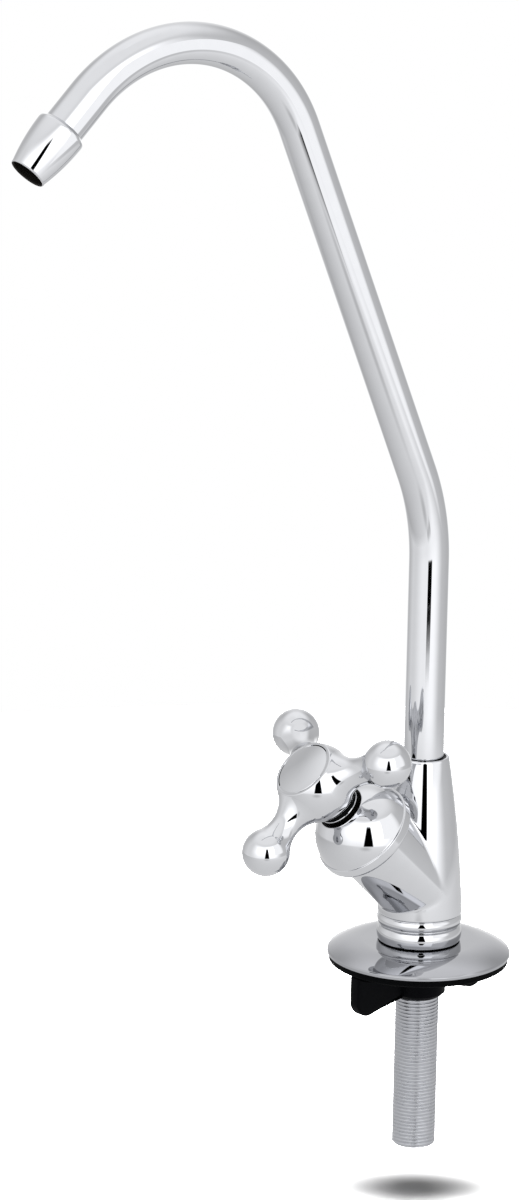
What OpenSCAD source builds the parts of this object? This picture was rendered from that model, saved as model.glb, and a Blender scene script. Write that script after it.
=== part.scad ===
// Drinking water filter tap: a bent swivel spout over a Y-shaped body with a three-arm valve handle.
// Origin: centre of the rubber washer's underside, where the tap stands on the worktop. +Z is up.
// The spout and the valve branch point towards -Y. All sizes are in millimetres.

/* [Deck plate] */
// Diameter of the base plate
plate_d = 50.5; // [46:0.5:60]
// Height of the plate's plain rim
plate_rim_h = 1; // [0.6:0.1:1.6]
// Rise of the plate's shoulder from its rim to the land under the body
plate_rise = 3; // [2:0.1:4]
// Diameter of the plate's flat land
land_d = 31; // [28:0.5:36]
// Thickness of the plate's sheet
plate_t = 1.2; // [0.8:0.1:1.6]
// Distance of the rubber washer's edge inside the plate's edge
washer_inset = 0.5; // [0.2:0.1:1]
// Thickness of the rubber washer at its edge
washer_t = 2; // [1.5:0.1:3]

/* [Shank and wing nut] */
// Outside diameter of the threaded shank
shank_d = 12; // [11:0.1:13]
// Bore of the shank, which takes the supply tube
shank_bore_d = 6.5; // [5:0.1:8]
// Length of the shank below the worktop plane
shank_drop = 53.5; // [40:0.5:80]
// Diameter of the wing nut's hub
nut_hub_d = 15.4; // [14.4:0.1:18]
// Depth of the wing nut's hub below the worktop plane
nut_hub_h = 9.9; // [8:0.1:11]
// Chamfer round the bottom of the nut's hub
nut_chamfer = 1; // [0.4:0.1:1.2]
// Diameter of the wing nut's flange
nut_flange_d = 24.8; // [24.4:0.1:30]
// Radius from the nut's axis to the end of a wing
wing_reach = 24; // [20:0.5:30]
// Depth of the wings below the worktop plane
wing_h = 11.9; // [11:0.1:18]
// Thickness of a wing
wing_t = 3.6; // [2.5:0.1:5]
// Angle that the wing nut has been turned to, from the spout's plane
wing_turn = 7; // [0:1:30]
// Thickness of the slip washer between the nut and the worktop
slip_t = 1.2; // [0.8:0.1:1.6]
// Diameter of the slip washer
slip_d = 22; // [18:0.5:22]

/* [Body] */
// Diameter of the body's turned foot
foot_d = 23.5; // [22:0.1:26]
// Height of the column's top rim above the worktop
column_top = 58.6; // [54:0.2:66]
// Diameter of the column at its top rim
column_top_d = 14.1; // [13.8:0.1:16]
// Bulge of the column's tapering side, away from a straight cone
column_bow = 0.65; // [0:0.05:1]
// Height where the branch's axis crosses the column's axis
branch_z = 20.4; // [19:0.2:23]
// Tilt of the branch from upright
branch_tilt = 45; // [40:1:50]
// Diameter of the branch
branch_d = 22.4; // [21.6:0.1:22.4]
// Length of the branch along its own axis, from the column's axis
branch_len = 26.5; // [26.2:0.1:27]

/* [Spout] */
// Outside diameter of the spout tube
tube_d = 11; // [10:0.1:11.2]
// Wall of the spout tube
tube_wall = 1; // [0.8:0.1:1.2]
// Height where the tube starts to bend
bend_z = 113.6; // [100:0.1:140]
// Centre-line radius of the first bend
bend_r = 65; // [40:1:80]
// Lean of the tube's long straight, from upright
lean = 23; // [10:1:35]
// Length of the leaning straight
lean_len = 104.1; // [80:0.1:140]
// Centre-line radius of the top arc
arc_r = 40; // [25:0.5:60]
// Angle of the spout's end below the horizontal
drop = 45; // [30:1:80]
// Length of bare tube between the top arc and the nozzle
end_len = 10.4; // [5:0.1:20]
// Length of the nozzle
nozzle_len = 15.1; // [12:0.1:20]
// Largest diameter of the nozzle, at its shoulder
nozzle_d = 13.9; // [13.2:0.1:15]
// Outside diameter of the nozzle's mouth
mouth_d = 9.9; // [9.6:0.1:11]

/* [Bonnet and valve] */
// Outside radius of the bonnet's lip
bonnet_r = 14.2; // [13.8:0.1:14.6]
// Distance of the dome's centre along the branch
bonnet_at = 26.9; // [26.6:0.1:27.4]
// Distance of the bonnet's lower edge along the branch
bonnet_foot = 25.4; // [25:0.1:25.6]
// Height of the bonnet's lip along the branch
lip_h = 3.4; // [3:0.1:4]
// Step from the lip in to the dome
lip_step = 0.35; // [0.2:0.05:0.4]
// Rounding of the lip's lower edge
lip_round = 1.3; // [0.8:0.1:1.4]
// Wall of the bonnet
bonnet_t = 1.5; // [1.2:0.1:1.8]
// Diameter of the cartridge's neck, which carries the bonnet
neck_d = 11.6; // [11:0.1:12]
// Distance of the neck's top along the branch
neck_top = 39.5; // [38.5:0.1:40]
// Diameter of the valve spindle
spindle_d = 8; // [7:0.1:8.4]
// Diameter of the ceramic discs' chamber in the cartridge
chamber_d = 12.6; // [12:0.1:12.8]
// Thickness of a ceramic disc
disc_t = 3; // [2.5:0.1:3.2]

/* [Handle] */
// Distance of the handle's centre along the branch
handle_at = 50.9; // [50:0.1:54]
// Radius of the handle's round hub
hub_r = 10.8; // [10.4:0.1:11.5]
// Height of the index cap's face above the hub's centre
cap_h = 6.4; // [6:0.1:7]
// Diameter of the index cap
cap_d = 15.6; // [14:0.1:16]
// Distance of a ball's centre from the handle's axis
ball_reach = 23.6; // [21:0.1:28]
// Radius of a ball at an arm's end
ball_r = 6.5; // [6:0.1:7]
// Radius of an arm's waist
waist_r = 3.9; // [3.4:0.1:4.4]
// Radius of the hollow curve along an arm
flare_r = 9; // [8.8:0.1:11]
// Number of arms
arms = 3; // [3:1:4]
// Angle of the first arm from the +X side
arm_turn = 32; // [0:0.1:120]

/* [Fits] */
// Radial clearance where one piece turns in another
running = 0.05; // [0.02:0.01:0.1]
// Space between pieces that move past each other
apart = 0.3; // [0.2:0.05:0.4]

/* [Hidden] */
$fn = 96;
cut = 0.5;
bow_steps = 12;
passage_r = 3;
// Deck plate, with the radius of the arc that rounds over from a hair below the land to the rim edge
plate_r = plate_d / 2;
plate_z = washer_t;
rim_z = plate_z + plate_rim_h;
foot_z = rim_z + plate_rise;
land_r = land_d / 2;
land_step = 0.05;
shoulder_h = plate_rise - land_step;
shoulder_r = (pow(plate_r - land_r, 2) + pow(shoulder_h, 2)) / (2 * shoulder_h);
// Shank and wing nut, with a turned groove where the free stretch of the shank starts
shank_r = shank_d / 2;
hole_r = shank_r + apart;
shank_grip = 9.5;
shank_top = foot_z + shank_grip;
shank_seal_t = 1.5;
seal_lip = 0.4;
nut_cone_h = 1.4;
nut_flange_t = 1.8;
flange_h = slip_t + nut_flange_t;
wing_tip_r = 4.2;
free_groove_below = 1.2;
free_groove_z = nut_hub_h + free_groove_below;
free_groove_w = 0.8;
free_groove_h = 0.4;
// Turned rings at the body's foot, and the heights above the foot where they lie
ring_groove_up = 4.9;
ring_groove_z = foot_z + ring_groove_up;
ring_groove_r = 0.55;
step_groove_up = 7.9;
step_groove_z = foot_z + step_groove_up;
step_groove_r = 0.35;
column_up = 8.5;
column_z = foot_z + column_up;
foot_round = 0.6;
column_step = 0.1;
riser_at = 8;
// Spout tube: a straight is thinner than a bend by a skin and laps into it, so that they join as one solid
tube_r = tube_d / 2;
tube_bore_r = tube_r - tube_wall;
arc_turn = 90 - lean + drop;
skin = 0.02;
lap = 0.5;
straight_bore_r = tube_bore_r - skin;
nozzle_seat = 7;
nozzle_edge = 0.8;
nozzle_bow = 0.45;
// Spout's socket in the column, with its spigot, seals and rings
socket_depth = 20.6;
socket_z = column_top - socket_depth;
socket_r = tube_r + running;
socket_floor_gap = 1;
spigot_z = socket_z + socket_floor_gap;
spigot_len = 13;
tube_foot = spigot_z + spigot_len;
plug_len = 7;
bush_depth = 2.6;
bush_z = column_top - bush_depth;
bush_wall = 0.7;
bush_r = tube_r + bush_wall;
bush_h = 1.8;
ring_cord = 0.8;
ring_squeeze = 0.02;
spout_rings_up = [3.5, 7.5];
retainer_up = 10.3;
retainer_z = spigot_z + retainer_up;
retainer_h = 1;
retainer_grip = 0.4;
retainer_r = tube_r + retainer_grip;
retainer_bite = 0.8;
retainer_root_r = tube_r - retainer_bite;
retainer_slit = 2;
retainer_play = 0.05;
// Valve cartridge, with its stations along the branch from the column's axis outwards
branch_r = branch_d / 2;
branch_wall = 2.6;
branch_bore_r = branch_r - branch_wall;
seat_at = 7;
seal_h = 2;
fixed_at = seat_at + seal_h;
film = 0.02;
moving_at = fixed_at + disc_t + film;
driver_at = moving_at + disc_t;
driver_h = 2;
thrust_at = driver_at + driver_h;
thrust_h = 0.6;
thrust_play = 0.1;
chamber_end = thrust_at + thrust_h;
chamber_r = chamber_d / 2;
disc_play = 0.1;
fixed_r = chamber_r - disc_play;
moving_r = chamber_r - apart;
cage_wall = 1.2;
cage_r = chamber_r + cage_wall;
cage_lift = 1;
cage_foot = seat_at + cage_lift;
hex_h = 3.5;
hex_across = 19;
neck_r = neck_d / 2;
port_r = 1.7;
port_at = 3.4;
body_ring_sink = 1;
body_ring_at = branch_len - body_ring_sink;
body_ring_depth = 1.2;
body_ring_root_r = branch_bore_r - body_ring_depth;
body_ring_cord = 0.58;
body_ring_w = 1.4;
// Spindle, with its seals, its tang and its clip
spindle_r = spindle_d / 2;
spindle_bore_r = spindle_r + running;
tang_w = 2.2;
tang_h = 1.2;
tang_play = 0.1;
tang_end = 1;
stem_ring_below = 1.5;
stem_ring_above = 3;
stem_rings_at = [branch_len - stem_ring_below, branch_len + stem_ring_above];
stem_cord = 0.75;
clip_at = neck_top + apart;
clip_h = 0.8;
clip_wide = 1;
clip_r = spindle_r + clip_wide;
clip_bite = 0.7;
clip_groove_r = spindle_r - clip_bite;
clip_play = 0.05;
clip_slit = 3;
spline_step = 0.6;
spline_r = spindle_r - spline_step;
spline_gap = 0.2;
spline_at = clip_at + clip_h + spline_gap;
// Handle: an arm's hollow cuts into the hub and the ball by a bite, and its corners lie inside them
skirt_wide = 0.2;
skirt_r = neck_r + skirt_wide;
skirt_at = neck_top + 2 * apart;
skirt_bore_r = clip_r + apart;
web_below = 1.6;
web_at = handle_at - web_below;
web_h = 2.6;
screw_r = 2;
screw_head_r = 3.5;
screw_head_h = 1.8;
screw_len = 9;
screw_play = 0.05;
screw_hole_play = 0.2;
hex_key_r = 1.5;
hex_key_h = 1;
flare_bite = 0.08;
arm_inset = 0.95;
cap_wall = 0.9;
cap_t = 1.6;
cap_r = cap_d / 2;
cap_gap = 0.2;
cap_rim_h = 2.2;

// Points from a to b along a line that bows out to its right by bow at the middle
function bowed(a, b, bow) =
    let (side = [b.y - a.y, a.x - b.x] / norm(b - a))
    [for (i = [0 : bow_steps]) let (t = i / bow_steps) a + (b - a) * t + side * bow * 4 * t * (1 - t)];

// Where a line from point p touches the lower left of a circle
function touch(p, centre, r) =
    let (d = norm(centre - p), toward = atan2(centre.y - p.y, centre.x - p.x), half = asin(r / d))
    p + sqrt(d * d - r * r) * [cos(toward - half), sin(toward - half)];

// Plain ring from inner radius to outer radius
module ring(inner, outer, h) {
    difference() {
        cylinder(r = outer, h = h);
        translate([0, 0, -cut]) cylinder(r = inner, h = h + 2 * cut);
    }
}

// Round cord bent into a ring, with its inside at the given radius
module o_ring(inner, cord) {
    rotate_extrude() translate([inner + cord, 0]) circle(r = cord);
}

// Groove of width w cut into a shaft down to the root radius
module shaft_groove(root, outer, w) {
    translate([0, 0, -w / 2]) ring(root, outer + cut, w);
}

// Places children on the branch, with +Z along its axis
module on_branch(at = 0) {
    translate([0, 0, branch_z]) rotate([branch_tilt, 0, 0]) translate([0, 0, at]) children();
}

// Round rod bent towards -Y from the origin
module bend(centre_r, angle, r) {
    translate([0, -centre_r, 0]) rotate([90, 0, 90]) rotate_extrude(angle = angle) translate([centre_r, 0])
        circle(r = r);
}

// Frame at the far end of a bend
module past_bend(centre_r, angle) {
    translate([0, centre_r * (cos(angle) - 1), centre_r * sin(angle)]) rotate([angle, 0, 0]) children();
}

// Frame at the end of the top arc, with +Z along the spout's outlet
module at_spout_end() {
    translate([0, 0, bend_z]) past_bend(bend_r, lean) translate([0, 0, lean_len])
        past_bend(arc_r, arc_turn) children();
}

// Rod that follows the spout's centre line, longer at both ends by extra
module spout_rod(r, extra) {
    straight_r = r - skin;
    translate([0, 0, tube_foot - extra]) cylinder(r = straight_r, h = bend_z - tube_foot + extra + lap);
    translate([0, 0, bend_z]) {
        bend(bend_r, lean, r);
        past_bend(bend_r, lean) {
            translate([0, 0, -lap]) cylinder(r = straight_r, h = lean_len + 2 * lap);
            translate([0, 0, lean_len]) bend(arc_r, arc_turn, r);
        }
    }
    at_spout_end() translate([0, 0, -lap])
        cylinder(r = straight_r, h = end_len + nozzle_seat + extra + lap);
}

module spout_tube() {
    color("gainsboro") difference() {
        spout_rod(tube_r, 0);
        spout_rod(tube_bore_r, cut);
    }
}

// Turned outlet collar: square shoulder, then a bowed taper to a thin mouth
module spout_nozzle() {
    side = bowed([nozzle_d / 2, nozzle_edge], [mouth_d / 2, nozzle_len], nozzle_bow);
    color("gainsboro") at_spout_end() translate([0, 0, end_len]) difference() {
        rotate_extrude() polygon(concat([[0, 0], [nozzle_d / 2 - nozzle_edge, 0]], side, [[0, nozzle_len]]));
        translate([0, 0, -cut]) cylinder(r = tube_r + ring_squeeze, h = nozzle_seat + cut);
        cylinder(r = straight_bore_r, h = nozzle_len + cut);
    }
}

// Brass foot of the spout: plug pressed into the tube, with grooves for two seals and a split ring
module spout_spigot() {
    color("goldenrod") translate([0, 0, spigot_z]) difference() {
        union() {
            cylinder(r = tube_r, h = spigot_len);
            cylinder(r = straight_bore_r - ring_squeeze, h = spigot_len + plug_len);
        }
        translate([0, 0, -cut]) cylinder(r = passage_r, h = spigot_len + plug_len + 2 * cut);
        for (up = spout_rings_up) translate([0, 0, up])
            shaft_groove(tube_r - 2 * ring_cord, tube_r, 2 * ring_cord + apart);
        translate([0, 0, retainer_up + retainer_h / 2])
            shaft_groove(retainer_root_r, tube_r, retainer_h + 2 * retainer_play);
    }
}

module spout_o_rings() {
    color("black") for (up = spout_rings_up) translate([0, 0, spigot_z + up])
        o_ring(socket_r - ring_squeeze - 2 * ring_cord, ring_cord);
}

// Split ring that keeps the spout in the column
module spout_retainer() {
    color("silver") translate([0, 0, retainer_z]) difference() {
        ring(retainer_root_r + retainer_play, retainer_r, retainer_h);
        translate([-retainer_slit / 2, 0, -cut])
            cube([retainer_slit, retainer_r + cut, retainer_h + 2 * cut]);
    }
}

// Dark plastic bearing ring, sunk below the column's rim
module spout_bush() {
    color("dimgray") translate([0, 0, bush_z]) ring(socket_r, bush_r - ring_squeeze, bush_h);
}

// Outline of the turned column: rounded foot, two grooved rings and a bowed taper
module column_outline() {
    foot_r = foot_d / 2;
    side = bowed([foot_r - column_step, column_z], [column_top_d / 2, column_top], column_bow);
    difference() {
        union() {
            polygon(concat([[0, foot_z], [foot_r - foot_round, foot_z],
                [foot_r - foot_round, foot_z + foot_round], [foot_r, foot_z + foot_round],
                [foot_r, column_z]], side, [[0, column_top]]));
            translate([foot_r - foot_round, foot_z + foot_round]) circle(r = foot_round);
        }
        translate([foot_r, ring_groove_z]) circle(r = ring_groove_r);
        translate([foot_r, step_groove_z]) circle(r = step_groove_r);
    }
}

// Y-shaped casting: tapering column with a valve branch, bored for the shank, the valve and the spout
module body() {
    color("gainsboro") difference() {
        union() {
            rotate_extrude() column_outline();
            on_branch() cylinder(r = branch_r, h = branch_len);
        }
        translate([0, 0, foot_z - cut])
            cylinder(r = shank_r + running, h = shank_top + shank_seal_t - foot_z + cut);
        translate([0, 0, shank_top]) cylinder(r = passage_r, h = branch_z - shank_top);
        on_branch(-passage_r) cylinder(r = passage_r, h = seat_at + passage_r + cut);
        on_branch(seat_at) cylinder(r = branch_bore_r, h = branch_len);
        translate([0, 0, branch_z + riser_at]) cylinder(r = passage_r, h = socket_z - branch_z);
        translate([0, 0, socket_z]) cylinder(r = socket_r, h = column_top);
        translate([0, 0, bush_z]) cylinder(r = bush_r, h = column_top);
        translate([0, 0, retainer_z - apart]) cylinder(r = retainer_r + apart, h = retainer_h + 2 * apart);
    }
}

// Cross-section of the plate from the given height up, drawn in from its outside by inset
module plate_outline(base, inset) {
    intersection() {
        translate([0, base]) square([plate_r - inset, foot_z - inset - base]);
        union() {
            square([land_r, foot_z]);
            translate([land_r, foot_z - land_step - shoulder_r]) circle(r = shoulder_r - inset);
        }
    }
}

// Pressed sheet plate: flat land under the body, rounded over to a plain rim
module base_plate() {
    color("gainsboro") difference() {
        rotate_extrude() plate_outline(plate_z, 0);
        rotate_extrude() plate_outline(plate_z - cut, plate_t);
        cylinder(r = hole_r, h = foot_z + cut);
    }
}

// Moulded rubber washer: flat edge under the plate and a raised middle that fills the plate's hollow
module deck_washer() {
    color("black") difference() {
        union() {
            cylinder(r = plate_r - washer_inset, h = washer_t);
            rotate_extrude() plate_outline(0, plate_t + apart);
        }
        translate([0, 0, -cut]) cylinder(r = hole_r, h = foot_z + cut);
    }
}

// Threaded tube screwed into the body's foot
module shank() {
    color("darkgray") difference() {
        translate([0, 0, -shank_drop]) ring(shank_bore_d / 2, shank_r, shank_drop + shank_top);
        translate([0, 0, -free_groove_z]) shaft_groove(shank_r - free_groove_h, shank_r, free_groove_w);
    }
}

module shank_seal() {
    color("black") translate([0, 0, shank_top]) ring(passage_r + seal_lip, shank_r - apart, shank_seal_t);
}

// Thin slip ring that stands still against the worktop while the nut turns
module slip_washer() {
    color("black") translate([0, 0, -slip_t]) ring(hole_r, slip_d / 2, slip_t);
}

// Outline of both wings: flat on top, deep round tips and a slope up to the hub
module wing_outline() {
    tip = [wing_reach - wing_tip_r, wing_tip_r - wing_h];
    root = [nut_hub_d / 2, nut_chamfer - nut_hub_h];
    for (side = [0, 1]) mirror([side, 0]) {
        polygon([[0, -apart], [wing_reach, -apart], [wing_reach, tip.y], tip,
            touch(root, tip, wing_tip_r), root, [0, root.y]]);
        translate(tip) circle(r = wing_tip_r);
    }
}

module wing_nut() {
    hub = nut_hub_d / 2;
    color("black") rotate([0, 0, wing_turn]) difference() {
        union() {
            translate([0, 0, -flange_h]) cylinder(r = nut_flange_d / 2, h = flange_h - apart);
            translate([0, 0, -flange_h - nut_cone_h])
                cylinder(r1 = hub, r2 = nut_flange_d / 2, h = nut_cone_h);
            translate([0, 0, nut_chamfer - nut_hub_h])
                cylinder(r = hub, h = nut_hub_h - nut_chamfer - apart);
            translate([0, 0, -nut_hub_h]) cylinder(r1 = hub - nut_chamfer, r2 = hub, h = nut_chamfer);
            rotate([90, 0, 90]) translate([0, 0, -wing_t / 2]) linear_extrude(wing_t) wing_outline();
        }
        translate([0, 0, -slip_t]) cylinder(r = slip_d / 2 + apart, h = slip_t + cut);
        translate([0, 0, -wing_h]) cylinder(r = shank_r + running, h = wing_h + cut);
    }
}

// Outline of the bonnet's outside: a dome that steps out to a rounded lip
module bonnet_outline() {
    round_at = bonnet_foot + lip_round;
    intersection() {
        translate([0, bonnet_at]) circle(r = bonnet_r - lip_step);
        translate([0, round_at]) square([bonnet_r, 2 * bonnet_r]);
    }
    translate([0, round_at]) square([bonnet_r, lip_h - lip_round]);
    translate([0, bonnet_foot]) square([bonnet_r - lip_round, lip_h]);
    translate([bonnet_r - lip_round, round_at]) circle(r = lip_round);
}

// Domed cover over the valve, carried by the cartridge's neck
module bonnet() {
    color("gainsboro") on_branch() difference() {
        rotate_extrude() bonnet_outline();
        intersection() {
            translate([0, 0, bonnet_at]) sphere(r = bonnet_r - bonnet_t);
            translate([0, 0, branch_len]) cylinder(r = bonnet_r, h = 2 * bonnet_r);
        }
        translate([0, 0, bonnet_foot - cut])
            cylinder(r = branch_r + running, h = branch_len - bonnet_foot + 2 * cut);
        translate([0, 0, bonnet_at]) cylinder(r = neck_r + running, h = 2 * bonnet_r);
    }
}

// Brass valve cartridge: disc cage, threaded middle, hexagon and neck in one turned piece
module cartridge_body() {
    color("goldenrod") on_branch() difference() {
        union() {
            translate([0, 0, cage_foot]) cylinder(r = cage_r, h = branch_len - cage_foot);
            translate([0, 0, chamber_end])
                cylinder(r = branch_bore_r - running, h = branch_len - chamber_end);
            translate([0, 0, branch_len]) cylinder(r = hex_across / sqrt(3), h = hex_h, $fn = 6);
            translate([0, 0, branch_len]) cylinder(r = neck_r, h = neck_top - branch_len);
        }
        translate([0, 0, cage_foot - cut]) cylinder(r = chamber_r, h = chamber_end - cage_foot + cut);
        translate([0, 0, cage_foot]) cylinder(r = spindle_bore_r, h = neck_top);
        for (turn = [0, 90]) rotate([0, 0, turn]) translate([-cage_r - cut, 0, moving_at + disc_t / 2])
            rotate([0, 90, 0]) cylinder(r = port_r, h = 2 * (cage_r + cut));
        translate([0, 0, body_ring_at]) shaft_groove(body_ring_root_r, branch_bore_r, body_ring_w);
    }
}

module cartridge_o_ring() {
    color("black") on_branch(body_ring_at) o_ring(body_ring_root_r, body_ring_cord);
}

module seat_seal() {
    color("black") on_branch(seat_at) ring(passage_r + seal_lip, fixed_r, seal_h);
}

// Polished ceramic disc with two water ports
module ceramic_disc(r) {
    difference() {
        cylinder(r = r, h = disc_t);
        for (side = [-1, 1]) translate([side * port_at, 0, -cut]) cylinder(r = port_r, h = disc_t + 2 * cut);
    }
}

module fixed_disc() {
    color("white") on_branch(fixed_at) ceramic_disc(fixed_r);
}

// The turning disc stands a quarter turn from the fixed disc's ports when the valve is shut
module moving_disc() {
    color("white") on_branch(moving_at) rotate([0, 0, 90]) difference() {
        ceramic_disc(moving_r);
        translate([-moving_r - cut, -tang_w / 2 - tang_play, disc_t - tang_h - tang_play])
            cube([2 * (moving_r + cut), tang_w + 2 * tang_play, tang_h + cut]);
    }
}

module thrust_washer() {
    color("ivory") on_branch(thrust_at) ring(spindle_r + thrust_play, moving_r, thrust_h);
}

// Valve spindle: driver with a tang for the disc, sealed shaft and the seat for the handle
module spindle() {
    color("goldenrod") on_branch() difference() {
        union() {
            translate([0, 0, driver_at]) cylinder(r = moving_r, h = driver_h);
            rotate([0, 0, 90]) translate([tang_end - moving_r, -tang_w / 2, driver_at - tang_h])
                cube([2 * (moving_r - tang_end), tang_w, tang_h + cut]);
            translate([0, 0, driver_at]) cylinder(r = spindle_r, h = spline_at - driver_at);
            translate([0, 0, spline_at - cut]) cylinder(r = spline_r, h = web_at - spline_at + cut);
        }
        for (at = stem_rings_at) translate([0, 0, at])
            shaft_groove(spindle_r - 2 * stem_cord, spindle_r, 2 * stem_cord + apart);
        translate([0, 0, clip_at + clip_h / 2]) shaft_groove(clip_groove_r, spindle_r, clip_h + clip_play);
        translate([0, 0, web_at - screw_len]) cylinder(r = screw_r, h = screw_len + cut);
    }
}

module spindle_o_rings() {
    color("black") for (at = stem_rings_at) on_branch(at)
        o_ring(spindle_bore_r - ring_squeeze - 2 * stem_cord, stem_cord);
}

// Open spring clip that keeps the spindle in the cartridge
module spindle_clip() {
    color("silver") on_branch(clip_at) difference() {
        ring(clip_groove_r + clip_play, clip_r, clip_h);
        translate([-clip_slit / 2, 0, -cut]) cube([clip_slit, clip_r + cut, clip_h + 2 * cut]);
    }
}

// Outline of one arm, along +Y: hollow-curved waist between the hub and a ball
module arm_outline() {
    waist_at = ball_reach - sqrt(pow(flare_r + ball_r, 2) - pow(flare_r + waist_r, 2)) + flare_bite;
    hollow = [waist_r + flare_r, waist_at];
    ball = [0, ball_reach];
    root = arm_inset * hub_r * hollow / norm(hollow);
    tip = ball + arm_inset * ball_r * (hollow - ball) / norm(hollow - ball);
    difference() {
        polygon([[0, 0], [root.x, 0], root, tip, ball]);
        translate(hollow) circle(r = flare_r);
    }
    intersection() {
        translate(ball) circle(r = ball_r);
        square([ball_r, ball_reach + 2 * ball_r]);
    }
}

// Cast handle: round hub with a skirt, and arms that end in balls
module handle() {
    color("gainsboro") on_branch(handle_at) difference() {
        union() {
            sphere(r = hub_r);
            translate([0, 0, skirt_at - handle_at]) cylinder(r = skirt_r, h = handle_at - skirt_at);
            for (i = [0 : arms - 1]) rotate([0, 0, arm_turn + i * 360 / arms]) rotate([0, 90, 0])
                rotate_extrude() arm_outline();
        }
        translate([0, 0, cap_h]) cylinder(r = hub_r, h = hub_r);
        translate([0, 0, web_at + web_h - handle_at]) cylinder(r = cap_r + cap_gap, h = hub_r);
        translate([0, 0, skirt_at - handle_at - cut])
            cylinder(r = skirt_bore_r, h = spline_at - skirt_at + cut);
        translate([0, 0, spline_at - handle_at - cut])
            cylinder(r = spline_r + running, h = web_at - spline_at + cut);
        cylinder(r = screw_r + screw_hole_play, h = 2 * hub_r, center = true);
    }
}

module handle_screw() {
    color("silver") on_branch(web_at + web_h) difference() {
        union() {
            cylinder(r = screw_head_r, h = screw_head_h);
            translate([0, 0, cut - screw_len]) cylinder(r = screw_r - screw_play, h = screw_len);
        }
        translate([0, 0, screw_head_h - hex_key_h]) cylinder(r = hex_key_r, h = hex_key_h + cut, $fn = 6);
    }
}

// Push-in cover over the handle's screw
module index_cap() {
    top = handle_at + cap_h;
    color("gainsboro") on_branch(top - cap_rim_h) difference() {
        cylinder(r = cap_r, h = cap_rim_h);
        translate([0, 0, -cut]) cylinder(r = cap_r - cap_wall, h = cap_rim_h - cap_t + cut);
    }
}

spout_tube();
spout_nozzle();
spout_spigot();
spout_o_rings();
spout_retainer();
spout_bush();
body();
base_plate();
deck_washer();
shank();
shank_seal();
slip_washer();
wing_nut();
bonnet();
cartridge_body();
cartridge_o_ring();
seat_seal();
fixed_disc();
moving_disc();
thrust_washer();
spindle();
spindle_o_rings();
spindle_clip();
handle();
handle_screw();
index_cap();
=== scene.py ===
"""Looks of the drinking water filter tap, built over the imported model.

Sizes are in millimetres and angles in degrees unless a name or a comment says otherwise.
"""
import math

import bpy
import numpy as np
from mathutils import Matrix, Vector


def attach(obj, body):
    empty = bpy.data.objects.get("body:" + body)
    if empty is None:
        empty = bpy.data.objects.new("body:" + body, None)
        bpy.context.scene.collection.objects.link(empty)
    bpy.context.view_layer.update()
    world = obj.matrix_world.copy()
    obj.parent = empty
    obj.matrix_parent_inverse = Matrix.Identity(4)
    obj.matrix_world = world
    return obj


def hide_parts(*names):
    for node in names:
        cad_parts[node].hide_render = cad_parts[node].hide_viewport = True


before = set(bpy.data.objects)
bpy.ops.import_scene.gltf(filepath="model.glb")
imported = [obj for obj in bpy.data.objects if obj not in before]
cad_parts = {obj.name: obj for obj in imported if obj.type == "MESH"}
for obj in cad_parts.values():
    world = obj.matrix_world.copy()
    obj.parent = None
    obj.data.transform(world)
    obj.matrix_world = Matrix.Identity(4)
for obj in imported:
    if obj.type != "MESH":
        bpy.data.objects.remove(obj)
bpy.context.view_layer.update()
bpy.context.scene.view_settings.view_transform = "Standard"

# Body
# One brass casting: a bowed, tapering column on two turned beads, with the valve branch at 45 degrees.
# It is turned, ground, polished and chrome plated. The shank pulls it down on the base plate. A narrow band
# round the bottom of its foot is black rubber: painted shade for the dark contact line between foot and
# plate.


def linear(code):
    """Linear RGBA of an sRGB hex colour.

    A channel v becomes v / 12.92 up to 0.04045, and above it ((v + 0.055) / 1.055) to the power 2.4.
    """
    srgb = np.array([int(code[k:k + 2], 16) for k in (1, 3, 5)]) / 255
    rgb = np.where(srgb <= 0.04045, srgb / 12.92, ((srgb + 0.055) / 1.055) ** 2.4)
    return (*rgb.tolist(), 1.0)


def add_node(tree, kind, inputs=None, **settings):
    """Adds a node, sets its own settings, then fills each input with a value or links it to an output."""
    node = tree.nodes.new(kind)
    for name, value in settings.items():
        setattr(node, name, value)
    for key, value in (inputs or {}).items():
        if isinstance(value, bpy.types.NodeSocket):
            tree.links.new(value, node.inputs[key])
        else:
            node.inputs[key].default_value = value
    return node


def start_material(name):
    """Empty node material, with its tree and the Object coordinates that its patterns read.

    These are in metres, so a pattern whose features are p mm wide has the scale 1000 / p.
    """
    material = bpy.data.materials.new(name)
    material.use_nodes = True
    tree = material.node_tree
    tree.nodes.clear()
    return material, tree, add_node(tree, "ShaderNodeTexCoord").outputs["Object"]


# Sockets of a Mix node that mixes colours: its two colours and its result.
colour_a, colour_b, colour_out = 6, 7, 2


def mottled(tree, place, patch, dark, light, **noise):
    """Two close colours mixed by a noise with patches of patch mm: returns the noise and the colour."""
    cloud = add_node(tree, "ShaderNodeTexNoise", {"Vector": place, "Scale": 1000 / patch, **noise})
    tone = add_node(tree, "ShaderNodeMix", {
        "Factor": cloud.outputs["Fac"], colour_a: linear(dark), colour_b: linear(light)}, data_type="RGBA")
    return cloud.outputs["Fac"], tone.outputs[colour_out]


def finish_material(tree, shader):
    """Links a shader to the material's output."""
    add_node(tree, "ShaderNodeOutputMaterial", {"Surface": shader.outputs[0]})


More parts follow.
